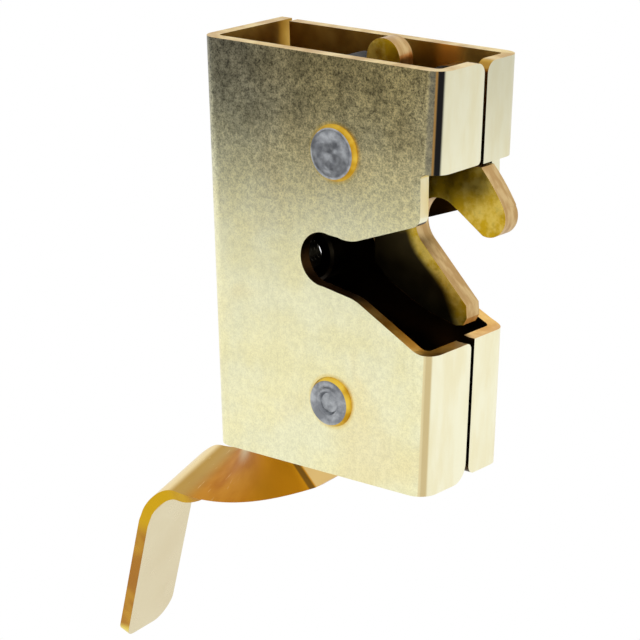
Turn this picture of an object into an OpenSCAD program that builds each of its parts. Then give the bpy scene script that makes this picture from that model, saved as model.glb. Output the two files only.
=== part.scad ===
// Truck door lock: a rotary fork latch in a folded steel case, drawn open as in the photograph.
// The frame has +X towards the side where the striker enters, +Y out of the back and +Z up.
// Its origin is the axis of the left fixing thread, on the back face.
// Inside the modules, x runs from the case's left side at the height of the rotor pivot, y from its front face
// and z from its lower edge.

/* [Case] */
// Height of the case
case_h = 90; // [88:0.5:94]
// Width of the case at the height of the rotor pivot
case_w = 62; // [61.5:0.5:64]
// Depth of the case from front face to back face
case_d = 27.6; // [27.2:0.1:28.4]
// How far each side leans in from the top edge to the lower edge
side_lean = 3.3; // [3:0.1:3.5]
// Thickness of the sheet steel
sheet = 2.8; // [2.5:0.1:2.8]
// Outside radius of the folds
fold_r = 4; // [3.6:0.1:5]
// Depth of the front shell's right flange
near_flange = 14.4; // [13.5:0.1:14.6]
// Slit between the two right flanges
slit = 1.1; // [0.8:0.1:1.4]
// How much higher the back plate's lower edge is than the front's
back_low = 1; // [0:0.1:1.5]
// How much lower the back plate's top edge is than the front's
back_high = 0.1; // [0:0.1:1]

/* [Mouth] */
// Centre of the striker's seat from the left side
seat_x = 32.5; // [32:0.1:33]
// Height of the seat's centre
seat_z = 46.8; // [46.4:0.1:47.2]
// Radius of the seat
seat_r = 5.8; // [5.5:0.1:6]
// Left edge of the window that the upper claw comes out of
window_x = 57.6; // [57:0.1:58]
// Top of the window
window_top = 68.8; // [68:0.1:70]
// Floor of the mouth in the right flange
mouth_floor = 30.7; // [30:0.1:31.5]

/* [Pivots] */
// Rotor pivot from the left side
rotor_x = 35.7; // [35.5:0.1:35.9]
// Height of the rotor pivot
rotor_z = 70; // [69.8:0.1:70.2]
// Pawl and lever pivot from the left side
pawl_x = 35; // [34.8:0.1:35.2]
// Height of the pawl and lever pivot
pawl_z = 16.2; // [16:0.1:16.4]
// Radius of both pivot shanks
shank_r = 5; // [4.8:0.1:5]
// Radius of the rotor pin's head
rotor_head_r = 6; // [5.8:0.1:6.3]
// Radius of the pawl pin's head
pawl_head_r = 5.4; // [5.2:0.1:5.6]
// Height of both heads
head_h = 2; // [1.8:0.1:2.2]

/* [Rotor and pawl] */
// Front face of the rotor and of the pawl
rotor_y = 15; // [14.9:0.1:15.1]
// Thickness of the rotor and of the pawl
rotor_t = 4.5; // [4:0.1:4.5]
// Radius at the root of the rotor's throat
throat_r = 6; // [5.8:0.1:6.2]
// Angle through which the rotor closes
close_deg = 52; // [51.5:0.1:52.5]
// Angle through which the pawl engages
pawl_travel = 14; // [13.5:0.5:14]

/* [Release lever] */
// Front face of the lever's flat arm
lever_y = 7; // [6.8:0.1:7.2]
// Thickness of the lever
lever_t = 2.6; // [2.4:0.1:2.8]
// Width of the lever where its strip starts
strip_w = 14; // [12:0.5:15]
// Tilt of the strip where it bends into the finger tab
strip_tilt = 18.7; // [17:0.1:20]
// Outside radius of the bend into the tab
tab_bend_r = 9.2; // [8.5:0.1:10]
// Angle of that bend
tab_bend = 63.4; // [61:0.2:66]
// Width of the finger tab
tab_w = 17.1; // [16.5:0.1:18]
// Length of the finger tab along its front edge
tab_len = 48; // [44:1:50]

/* [Fixings] */
// Left fixing thread from the left side
nut_x = 13; // [12.5:0.1:13.5]
// Height of the left fixing thread
nut_z = 40.5; // [40:0.1:41]
// Bore radius of the fixing threads, at the crest of an M8 thread
nut_bore_r = 3.4; // [3.3:0.05:3.5]
// Outside radius of the fixing nuts
nut_r = 6.5; // [6:0.1:6.5]

/* [Hidden] */
$fn = 64;

// Clearances: a running fit on the pivots, a rivet in its hole, and flat faces that slide
run_gap = 0.05;
rivet_gap = 0.05;
side_gap = 0.1;
// A cut that passes right through a face goes this far beyond it
past = 5;

lean_deg = atan(side_lean / case_h);
// The two halves of the front plate reach this far in from their folds, and lap over each other
half_web = 40;
back_inner = case_d - sheet;
neck_r = shank_r - 1;
washer_t = 0.5;
washer_r = 8.5;
spacer_r = shank_r + 1.5;
rotor_end = rotor_y + rotor_t;
lever_end = lever_y + lever_t;
rotor_at = [rotor_x, rotor_z];
pawl_at = [pawl_x, pawl_z];
seat_at = [seat_x, seat_z];

// The three fixing nuts: the left one is the origin
nut_places = [[nut_x, nut_z], [49, 80], [49.3, 8.5]];
nut_stand = 4.9;
nut_pilot_r = 5.2;

// Rotor, seen from the front with its pivot at 0,0
hub_r = 9.5;
throat_at = [15.7, -15.95];
upper_wall_deg = -34.5;
lower_wall_deg = -45.5;
claw_back_at = [-4, -30.3];
claw_back_r = 41.3;
claw_tip_at = [27.9, -12];
claw_tip_r = 4.4;
relief_r = 3;
relief_at = [20.8 + relief_r, -2 + relief_r];
tail_x = 0.9;
tail_z = 17.3;
tail_r = 4.3;
catch_top = [22.9, -31.8];
catch_low = [23.15, -34.6];

// Pawl, seen from the front with its pivot at 0,0 and drawn engaged: its nose lies along the closed rotor's
// catch face
pawl_hub_r = 9;
catch_from = rotor_at + spun(catch_top, -close_deg) - pawl_at;
catch_along = unit(spun(catch_low - catch_top, -close_deg));
catch_out = [-catch_along[1], catch_along[0]];
nose_gap = 0.2;
nose_top = catch_from + nose_gap * catch_out + 0.2 * catch_along;
nose_low = catch_from + nose_gap * catch_out + 6.8 * catch_along;
heel_deg = 236;
heel_half = 4;
heel_len = 15;

// Small pins and the stop that they make
stop_at = rotor_at + [-7.8, 13];
stop_pin_r = 2.5;
buffer_r = 4;
small_pin_r = 2;
link_r = 12.5;
link_at = pawl_at + link_r * [cos(heel_deg + pawl_travel), sin(heel_deg + pawl_travel)];
pawl_stop_r = 17;
pawl_stop_deg = 214.25;
pawl_stop_at = pawl_at + pawl_stop_r * [cos(pawl_stop_deg), sin(pawl_stop_deg)];
peg_at = rotor_at + [tail_x, 14];
peg_r = 1.8;

// Springs: wire radius and mean coil radius
rotor_wire_r = 0.9;
rotor_coil_r = 7.9;
small_wire_r = 0.7;
small_coil_r = 7.4;
anchor_hole_r = 1.3;

// Lever: the strip's front border runs from the crease, where it leaves the flat arm, to the bend into the tab
crease_low = [25, lever_y, -7.5];
crease_along = unit([-0.7, 0, 0.71]);
strip_back = [0, cos(strip_tilt), sin(strip_tilt)];
strip_up = [0, -sin(strip_tilt), cos(strip_tilt)];
bend_from = [-13.5, 8.5, -15.3];
bend_front = -4.3;
bend_rear = 14.3;
border = [crease_low, [16, 0.7, -10.6], [0.7, 2.7, -16.5], bend_from + bend_front * strip_back];
tab_slant = 5;
tab_front_r = 3;
tab_rear_r = 4.5;
tab_end = tab_len + tab_slant;
lever_eye_r = 9.5;
slot_top = 14.6;
slot_front = 3.3;
slot_rear = 17.2;
slot_corner_r = 2;

// Points on an arc, from one angle to another
function arc(at, r, from, to, steps = 8) =
    [for (i = [0 : steps]) at + r * [cos(from + (to - from) * i / steps), sin(from + (to - from) * i / steps)]];
// A point on the curve that four points guide
function curve(g, u) =
    pow(1 - u, 3) * g[0] + 3 * u * pow(1 - u, 2) * g[1] + 3 * u * u * (1 - u) * g[2] + pow(u, 3) * g[3];
// Goes smoothly from 0 to 1
function ease(u) = let (v = min(max(u, 0), 1)) v * v * (3 - 2 * v);
function unit(v) = v / norm(v);
function spun(p, deg) = [p[0] * cos(deg) - p[1] * sin(deg), p[0] * sin(deg) + p[1] * cos(deg)];
function bearing(v) = atan2(v[1], v[0]);
// Angle on a coil of radius r where a straight leg from point p runs on to it
function leg_on(p, r) = bearing(p) + acos(r / norm(p));
// Angle on a coil of radius r where a straight leg to point p leaves it
function leg_off(p, r) = bearing(p) - acos(r / norm(p));

// Moves the case's own coordinates to the part's frame
module seated() { translate([-nut_x, -case_d, -nut_z]) children(); }
// A flat plate from an outline drawn in x and z
module plate(y, t) { translate([0, y + t, 0]) rotate([90, 0, 0]) linear_extrude(t) children(); }
// A round bar along y
module bar(at, y, y_end, r) { translate([at[0], y, at[1]]) rotate([-90, 0, 0]) cylinder(r = r, h = y_end - y); }
// A turned piece along y, from a profile of radius and distance from the front face
module turned(at, profile) {
    translate([at[0], 0, at[1]]) rotate([-90, 0, 0]) rotate_extrude() polygon(profile);
}
module ring(at, y, y_end, r, bore) {
    difference() {
        bar(at, y, y_end, r);
        bar(at, y - 1, y_end + 1, bore);
    }
}

// A closed skin over a row of outlines that all have the same number of points
module skin(outlines) {
    sides = len(outlines[0]);
    last = len(outlines) - 1;
    points = [for (outline = outlines) for (p = outline) p];
    polyhedron(points, concat(
        [[for (k = [0 : sides - 1]) k]],
        [[for (k = [sides - 1 : -1 : 0]) last * sides + k]],
        [for (i = [0 : last - 1]) for (k = [0 : sides - 1])
            [i * sides + k, (i + 1) * sides + (k + 1) % sides, i * sides + (k + 1) % sides]],
        [for (i = [0 : last - 1]) for (k = [0 : sides - 1])
            [i * sides + k, (i + 1) * sides + k, (i + 1) * sides + (k + 1) % sides]]));
}

// A round wire along a list of points
module wire(points, r, sides = 8) {
    last = len(points) - 1;
    tangents = [for (i = [0 : last]) unit(points[min(i + 1, last)] - points[max(i - 1, 0)])];
    ups = [for (t = tangents) unit(cross(t, abs(t[1]) < 0.9 ? [0, 1, 0] : [1, 0, 0]))];
    skin([for (i = [0 : last]) [for (k = [0 : sides - 1])
        points[i] + r * (cos(360 * k / sides) * ups[i] + sin(360 * k / sides) * cross(tangents[i], ups[i]))]]);
}

// A torsion spring on a pivot: a straight leg, a coil and a second straight leg, whose points are x, y, z
module torsion_spring(at, coil_r, wire_r, turns, leg_in, leg_out) {
    centre = [at[0], 0, at[1]];
    flat_in = [leg_in[0][0] - at[0], leg_in[0][2] - at[1]];
    flat_out = [leg_out[0][0] - at[0], leg_out[0][2] - at[1]];
    start = leg_on(flat_in, coil_r);
    stop = start + 360 * turns + (leg_off(flat_out, coil_r) - start) % 360;
    y_in = leg_in[0][1];
    y_out = leg_out[0][1];
    steps = ceil((stop - start) / 20);
    coil = [for (i = [0 : steps]) let (a = start + (stop - start) * i / steps)
        centre + [coil_r * cos(a), y_in + (y_out - y_in) * i / steps, coil_r * sin(a)]];
    wire(concat([for (i = [len(leg_in) - 1 : -1 : 0]) leg_in[i]], coil, leg_out), wire_r);
}

// Outline of the mouth and the window, in x and z, open to the right
module mouth_outline(floor, top) {
    far = case_w + past;
    translate(seat_at) circle(seat_r);
    polygon(concat(
        [[seat_x, seat_z + seat_r - 0.1]],
        arc([38.9, 60.9], 9, 255, 290),
        arc([window_x - 2.5, 59.9], 2.5, -70, 0),
        arc([window_x + 1, top - 1], 1, 180, 90),
        [[far, top], [far, floor]],
        arc([59.9, floor + 9], 9, 270, 242, 6),
        arc([37.8, 30.2], 9.8, 62, 84, 4),
        [[seat_x - 0.5, seat_z - seat_r + 0.1]]));
}

// Section of a folded corner with its sharp outer corner at 0,0: a wall along +Y and a plate along -X
module fold_section(depth, web) {
    translate([-sheet, fold_r]) square([sheet, depth - fold_r]);
    translate([-web, 0]) square([web - fold_r, sheet]);
    intersection() {
        translate([-fold_r, fold_r]) difference() {
            circle(fold_r);
            circle(fold_r - sheet);
        }
        translate([-fold_r, 0]) square(fold_r);
    }
}

// How far the sides have leaned in at a height
function inset(z) = side_lean * (rotor_z - z) / case_h;

// A folded side with its plate, leaning in towards the lower edge
module leaning_fold(depth, web, z, z_end) {
    intersection() {
        translate([case_w - inset(0), 0, 0]) rotate([0, lean_deg, 0]) translate([0, 0, -past])
            linear_extrude(case_h + 2 * past) fold_section(depth, web);
        translate([0, -past, z]) cube([case_w + past, case_d + 2 * past, z_end - z]);
    }
}

// Outline of all that lies left of a line which keeps a distance from the left side
module left_of(reach) {
    polygon([
        [-2 * past, -past], [inset(-past) + reach, -past],
        [inset(case_h + past) + reach, case_h + past], [-2 * past, case_h + past]]);
}

// Removes the corner of a flange, leaving a round one: y and z name the corner, and the directions point
// into the steel
module corner_cut(y, z, into_y, into_z, r) {
    translate([case_w / 2, 0, 0]) rotate([90, 0, 90]) linear_extrude(case_w) translate([y, z])
        scale([into_y, into_z]) difference() {
            translate([-1, -1]) square(r + 1);
            translate([r, r]) circle(r);
        }
}

// Slot in the left flange that the lever's strip swings in
module lever_slot() {
    inner = slot_front + slot_corner_r;
    outer = slot_rear - slot_corner_r;
    translate([-past, 0, 0]) rotate([90, 0, 90]) linear_extrude(past + 10) {
        translate([inner, -past]) square([outer - inner, slot_top + past]);
        translate([slot_front, -past]) square([slot_rear - slot_front, slot_top - slot_corner_r + past]);
        for (y = [inner, outer]) translate([y, slot_top - slot_corner_r]) circle(slot_corner_r);
    }
}

module front_shell() {
    color("khaki") seated() difference() {
        union() {
            leaning_fold(near_flange, half_web, 0, case_h);
            translate([case_w, 0, 0]) mirror([1, 0, 0]) leaning_fold(case_d, half_web, 0, case_h);
        }
        plate(-past, case_d + 2 * past) mouth_outline(mouth_floor, window_top);
        corner_cut(near_flange, case_h, -1, -1, 2.5);
        corner_cut(near_flange, 0, -1, 1, 4);
        corner_cut(near_flange, mouth_floor, -1, -1, 1.5);
        corner_cut(near_flange, window_top, -1, 1, 1);
        bar(rotor_at, -past, past, neck_r + rivet_gap);
        bar(pawl_at, -past, past, neck_r + rivet_gap);
        lever_slot();
        translate([-past, 5.6, rotor_z - rotor_coil_r]) rotate([0, 90, 0])
            cylinder(r = anchor_hole_r, h = 10 + past);
    }
}

module back_plate() {
    low = back_low;
    high = case_h - back_high;
    flange_depth = case_d - near_flange - slit;
    color("khaki") seated() difference() {
        translate([0, case_d, 0]) mirror([0, 1, 0]) leaning_fold(flange_depth, case_w, low, high);
        plate(-past, case_d + 2 * past) left_of(sheet + 1.5);
        plate(-past, case_d + 2 * past) mouth_outline(mouth_floor + 0.6, window_top - 0.1);
        corner_cut(case_d - flange_depth, high, 1, -1, 2.5);
        corner_cut(case_d - flange_depth, low, 1, 1, 2);
        bar(rotor_at, back_inner - 1, case_d + 1, neck_r + rivet_gap);
        bar(pawl_at, back_inner - 1, case_d + 1, neck_r + rivet_gap);
        bar(stop_at, back_inner - 1, case_d + 1, stop_pin_r - 0.5 + rivet_gap);
        bar(pawl_stop_at, back_inner - 1, case_d + 1, small_pin_r - 0.5 + rivet_gap);
        for (at = nut_places) bar(at, back_inner - 1, case_d + 1, nut_pilot_r + rivet_gap);
    }
}

// A shouldered rivet: a dished head in front, a shank that spaces the plates and a flush tail
module shoulder_rivet(at, head_r, dish_r, dish_h) {
    turned(at, [
        [0, dish_h - head_h], [dish_r, dish_h - head_h], [dish_r + 0.6, -head_h], [head_r - 0.4, -head_h],
        [head_r, 0.4 - head_h], [head_r, 0], [neck_r, 0], [neck_r, sheet], [shank_r, sheet],
        [shank_r, back_inner], [neck_r, back_inner], [neck_r, case_d], [0, case_d]]);
}

module rotor_pin() { color("silver") seated() shoulder_rivet(rotor_at, rotor_head_r, 4.2, 0.3); }

module pawl_pin() { color("silver") seated() shoulder_rivet(pawl_at, pawl_head_r, 2.5, 0.9); }

// Fixing nuts clinched into the back plate, flush with the back face
module mounting_nuts() {
    color("goldenrod") seated() for (at = nut_places)
        difference() {
            union() {
                bar(at, back_inner - nut_stand, back_inner, nut_r);
                bar(at, back_inner - 1, case_d, nut_pilot_r);
            }
            bar(at, back_inner - nut_stand - 1, case_d + 1, nut_bore_r);
        }
}

module spacer(at, y, y_end) { ring(at, y, y_end, spacer_r, shank_r + run_gap); }
module washer(at, y) { ring(at, y, y + washer_t, washer_r, shank_r + run_gap); }

module rotor_front_spacer() { color("gray") seated() spacer(rotor_at, sheet, rotor_y - side_gap - washer_t); }

module rotor_rear_spacer() { color("gray") seated() spacer(rotor_at, rotor_end + side_gap + washer_t, back_inner); }

module rotor_washers() {
    color("dimgray") seated() {
        washer(rotor_at, rotor_y - side_gap - washer_t);
        washer(rotor_at, rotor_end + side_gap);
    }
}

// A stepped pin riveted into the back plate, reaching forward to y
module back_pin(at, y, r) {
    turned(at, [[0, y], [r, y], [r, back_inner], [r - 0.5, back_inner], [r - 0.5, case_d], [0, case_d]]);
}

module rotor_stop_pin() { color("gray") seated() back_pin(stop_at, rotor_y - 0.5, stop_pin_r); }

module stop_buffer() {
    color("black") seated() ring(stop_at, rotor_y - 0.4, rotor_end + 1, buffer_r, stop_pin_r + run_gap);
}

// The rotor spring turns the fork open: one leg is hooked in the left flange, the other pushes the peg
module rotor_spring() {
    reach = peg_r + rotor_wire_r + 0.1;
    color("slategray") seated() torsion_spring(rotor_at, rotor_coil_r, rotor_wire_r, 3,
        [[1.6, 5.6, rotor_z - rotor_coil_r]],
        [[peg_at[0] + reach, 12, peg_at[1] + 1]]);
}

module lever_front_spacer() { color("gray") seated() spacer(pawl_at, sheet, lever_y - side_gap - washer_t); }

module lever_rear_spacer() {
    color("gray") seated() spacer(pawl_at, lever_end + side_gap + washer_t, rotor_y - side_gap - washer_t);
}

module pawl_rear_spacer() { color("gray") seated() spacer(pawl_at, rotor_end + side_gap + washer_t, back_inner); }

module pawl_washers() {
    color("dimgray") seated() {
        washer(pawl_at, lever_y - side_gap - washer_t);
        washer(pawl_at, lever_end + side_gap);
        washer(pawl_at, rotor_y - side_gap - washer_t);
        washer(pawl_at, rotor_end + side_gap);
    }
}

module pawl_stop_pin() { color("gray") seated() back_pin(pawl_stop_at, lever_end + 0.6, small_pin_r); }

// The pawl spring pushes the heel towards the engaged position: one leg is hooked round the heel, the other
// bears on the stop pin
module pawl_spring() {
    rest_deg = heel_deg + pawl_travel;
    heel_side = heel_half + small_wire_r + 0.3;
    hook = pawl_at + 12 * [cos(rest_deg), sin(rest_deg)] + heel_side * [-sin(rest_deg), cos(rest_deg)];
    pin_side = small_pin_r + small_wire_r + 0.3;
    anchor = pawl_stop_at - pin_side * [-sin(pawl_stop_deg), cos(pawl_stop_deg)];
    color("slategray") seated() torsion_spring(pawl_at, small_coil_r, small_wire_r, 1,
        [[hook[0], 21, hook[1]], [hook[0], 20.4, hook[1]], [hook[0], 16.5, hook[1]]],
        [[anchor[0], 23.9, anchor[1]]]);
}

// Outline of the fork: hub, tail, upper claw and lower claw, with the throat cut between the claws
module rotor_outline() {
    far = 60;
    difference() {
        union() {
            circle(hub_r);
            translate([tail_x, tail_z]) circle(tail_r);
            translate([tail_x - tail_r, 0]) square([2 * tail_r, tail_z]);
            translate(claw_tip_at) circle(claw_tip_r);
            intersection() {
                translate(claw_back_at) circle(claw_back_r, $fn = 128);
                polygon([
                    [-hub_r + 0.4, -4], [-1.2, -19.5], [-0.8, -26.6], [2.9, -29.8], [8.4, -32.7], [13.7, -34.9],
                    [20.4, -36.6], [22.2, -36.2], catch_low, catch_top, [25.4, -20], claw_tip_at, [31.8, -9.8],
                    [30, 4], [4, 14]]);
            }
        }
        translate(throat_at) {
            circle(throat_r);
            rotate(upper_wall_deg) translate([0, -2]) square([far, throat_r + 2]);
            rotate(lower_wall_deg) translate([0, -throat_r]) square([far, throat_r + 2]);
        }
        translate(relief_at) {
            circle(relief_r);
            translate([0, -relief_r]) square([far, far]);
            translate([-relief_r, 0]) square([far, far]);
        }
    }
}

module rotor() {
    color("darkkhaki") seated() difference() {
        plate(rotor_y, rotor_t) translate(rotor_at) rotor_outline();
        bar(rotor_at, rotor_y - 1, rotor_end + 1, shank_r + run_gap);
        bar(peg_at, rotor_y - 1, rotor_end + 1, peg_r - 0.4 + rivet_gap);
    }
}

module rotor_spring_peg() {
    color("gray") seated() turned(peg_at, [
        [0, 10.5], [peg_r, 10.5], [peg_r, rotor_y], [peg_r - 0.4, rotor_y], [peg_r - 0.4, rotor_end], [0, rotor_end]]);
}

// The pawl is a strut: its nose stands under the lower claw's end face, and a pin through its heel joins it
// to the lever
module pawl_outline() {
    circle(pawl_hub_r);
    polygon([
        nose_top, nose_low,
        [-7.6, -3.6], [4, 7.4]]);
    rotate(heel_deg) {
        translate([0, -heel_half]) square([heel_len, 2 * heel_half]);
        translate([heel_len, 0]) circle(heel_half);
    }
}

module pawl() {
    color("darkkhaki") seated() difference() {
        plate(rotor_y, rotor_t) translate(pawl_at) rotate(pawl_travel) pawl_outline();
        bar(pawl_at, rotor_y - 1, rotor_end + 1, shank_r + run_gap);
        bar(link_at, rotor_y - 1, rotor_end + 1, small_pin_r - 0.5 + rivet_gap);
    }
}

// Flat arm of the lever, from the eye on the pivot to the crease where the strip starts
module lever_arm_outline() {
    low = [crease_low[0], crease_low[2]];
    translate(pawl_at) circle(lever_eye_r);
    polygon([
        pawl_at + [-6.5, 6.2], low + strip_w * [crease_along[0], crease_along[2]], low,
        [30.9, -3.4], pawl_at + [6.8, -6]]);
}

// Front and rear edges of the finger tab at a distance from the bend
function tab_front(q) =
    q < tab_len - tab_front_r ? -tab_w / 2
    : q < tab_len ? tab_front_r - tab_w / 2 - sqrt(pow(tab_front_r, 2) - pow(q - tab_len + tab_front_r, 2))
    : tab_front_r - tab_w / 2 + (q - tab_len) / tab_slant * (tab_w - tab_front_r - tab_rear_r);
function tab_rear(q) =
    q < tab_end - tab_rear_r ? tab_w / 2
    : tab_w / 2 - tab_rear_r + sqrt(pow(tab_rear_r, 2) - pow(q - tab_end + tab_rear_r, 2));

// Cross-section of the strip: a point on its upper face, the direction across it, the direction through it
// and the places of its two edges
function strip_section(at, across, through, front, rear) =
    [for (corner = [[rear, lever_t], [front, lever_t], [front, 0], [rear, 0]])
        at + corner[0] * across + corner[1] * through];

// The strip turns over from the upright arm, bends downwards and ends in the finger tab
module lever_strip() {
    turn_steps = 16;
    bend_steps = 10;
    bend_w = bend_rear - bend_front;
    bend_at = bend_from - tab_bend_r * strip_up;
    outward = function (a) cos(a) * strip_up - sin(a) * [1, 0, 0];
    tab_along = -cos(tab_bend) * [1, 0, 0] - sin(tab_bend) * strip_up;
    tab_stops = [6, tab_len - tab_front_r, tab_len - 1.2, tab_len - 0.3, tab_len + 0.4,
        tab_end - 3, tab_end - 1.6, tab_end - 0.7, tab_end - 0.1];
    skin(concat(
        [for (i = [0 : turn_steps]) let (u = i / turn_steps, turn = u * u,
            across = unit((1 - turn) * crease_along + turn * strip_back),
            back = (1 - turn) * [0, 1, 0] - turn * strip_up, through = unit(back - (back * across) * across))
            strip_section(curve(border, u), across, through, 0, strip_w + (bend_w - strip_w) * u)],
        [for (i = [1 : bend_steps]) let (a = tab_bend * i / bend_steps, flare = ease((a - 15) / (tab_bend - 15)))
            strip_section(bend_at + tab_bend_r * outward(a), strip_back, -outward(a),
                bend_front - (tab_w / 2 + bend_front) * flare, bend_rear - (bend_rear - tab_w / 2) * flare)],
        [for (q = tab_stops) strip_section(bend_at + tab_bend_r * outward(tab_bend) + q * tab_along, strip_back,
            -outward(tab_bend), tab_front(q), tab_rear(q))]));
}

module release_lever() {
    color("peru") seated() difference() {
        union() {
            plate(lever_y, lever_t) lever_arm_outline();
            lever_strip();
        }
        bar(pawl_at, lever_y - 1, lever_end + 1, shank_r + run_gap);
        bar(link_at, lever_y - 1, lever_end + 1, small_pin_r - 0.5 + rivet_gap);
    }
}

// Shouldered pin riveted into the lever and into the pawl's heel, so that the two turn as one
module lever_link_pin() {
    neck = small_pin_r - 0.5;
    color("gray") seated() turned(link_at, [
        [0, lever_y], [neck, lever_y], [neck, lever_end], [small_pin_r, lever_end],
        [small_pin_r, rotor_y], [neck, rotor_y], [neck, rotor_end], [0, rotor_end]]);
}

front_shell();
back_plate();
rotor_pin();
pawl_pin();
mounting_nuts();
rotor_front_spacer();
rotor_rear_spacer();
rotor_washers();
rotor_stop_pin();
stop_buffer();
rotor_spring();
lever_front_spacer();
lever_rear_spacer();
pawl_rear_spacer();
pawl_washers();
pawl_stop_pin();
pawl_spring();
rotor();
rotor_spring_peg();
pawl();
release_lever();
lever_link_pin();
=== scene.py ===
"""Looks of the truck door lock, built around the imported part. Lengths are in metres, or in mm where said."""

import math

import bpy
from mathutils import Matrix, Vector


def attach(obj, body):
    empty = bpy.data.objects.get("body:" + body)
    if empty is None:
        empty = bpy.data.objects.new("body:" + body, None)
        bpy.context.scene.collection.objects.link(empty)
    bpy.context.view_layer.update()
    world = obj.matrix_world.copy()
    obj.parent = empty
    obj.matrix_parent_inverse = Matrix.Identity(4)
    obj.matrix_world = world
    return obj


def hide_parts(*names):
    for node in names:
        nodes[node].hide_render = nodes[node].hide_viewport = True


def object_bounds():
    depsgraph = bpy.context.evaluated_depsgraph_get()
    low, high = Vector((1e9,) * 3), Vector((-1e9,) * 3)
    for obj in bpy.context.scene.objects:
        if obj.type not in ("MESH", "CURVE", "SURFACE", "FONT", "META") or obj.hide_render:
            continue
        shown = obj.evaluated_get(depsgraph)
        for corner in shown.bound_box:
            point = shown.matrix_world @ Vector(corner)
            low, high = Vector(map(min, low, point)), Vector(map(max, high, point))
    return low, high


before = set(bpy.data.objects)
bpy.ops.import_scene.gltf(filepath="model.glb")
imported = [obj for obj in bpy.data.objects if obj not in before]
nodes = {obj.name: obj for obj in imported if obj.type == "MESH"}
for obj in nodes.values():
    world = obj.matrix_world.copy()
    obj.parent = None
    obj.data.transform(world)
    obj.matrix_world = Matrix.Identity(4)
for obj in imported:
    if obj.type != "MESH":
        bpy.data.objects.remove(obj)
cad_box = [list(corner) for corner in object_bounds()]

# The case's own millimetres run from its left side, its front face and its lower edge
MM = 0.001
CASE_DEPTH, SHEET = 27.6, 2.8
BACK_INSIDE = CASE_DEPTH - SHEET
ROTOR_AT, PAWL_AT = (35.7, 70.0), (35.0, 16.2)
ROTOR_HEAD_R, PAWL_HEAD_R = 6.0, 5.4
NUT_PLACES = ((13.0, 40.5), (49.0, 80.0), (49.3, 8.5))
# The part's origin is on the first nut's axis, at the back of the case
ORIGIN_MM = Vector((NUT_PLACES[0][0], CASE_DEPTH, NUT_PLACES[0][1]))


def at(x, y, z):
    """A point in the case's own millimetres, as a point of the part's frame."""
    return (Vector((x, y, z)) - ORIGIN_MM) * MM


# Camera, fitted to the case's edges
CAMERA_PLACE = (361.89, -412.85, 194.86)
CAMERA_DOWN, CAMERA_TURN = math.radians(16.970), math.radians(38.635)

camera_data = bpy.data.cameras.new("camera")
camera_data.sensor_width = 36.0
camera_data.lens = 148.62
camera = bpy.data.objects.new("camera", camera_data)
camera.location = at(*CAMERA_PLACE)
camera.rotation_euler = (math.pi / 2 - CAMERA_DOWN, 0.0, CAMERA_TURN)
bpy.context.scene.collection.objects.link(camera)
bpy.context.scene.camera = camera
bpy.context.scene.view_settings.view_transform = "Standard"


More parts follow.
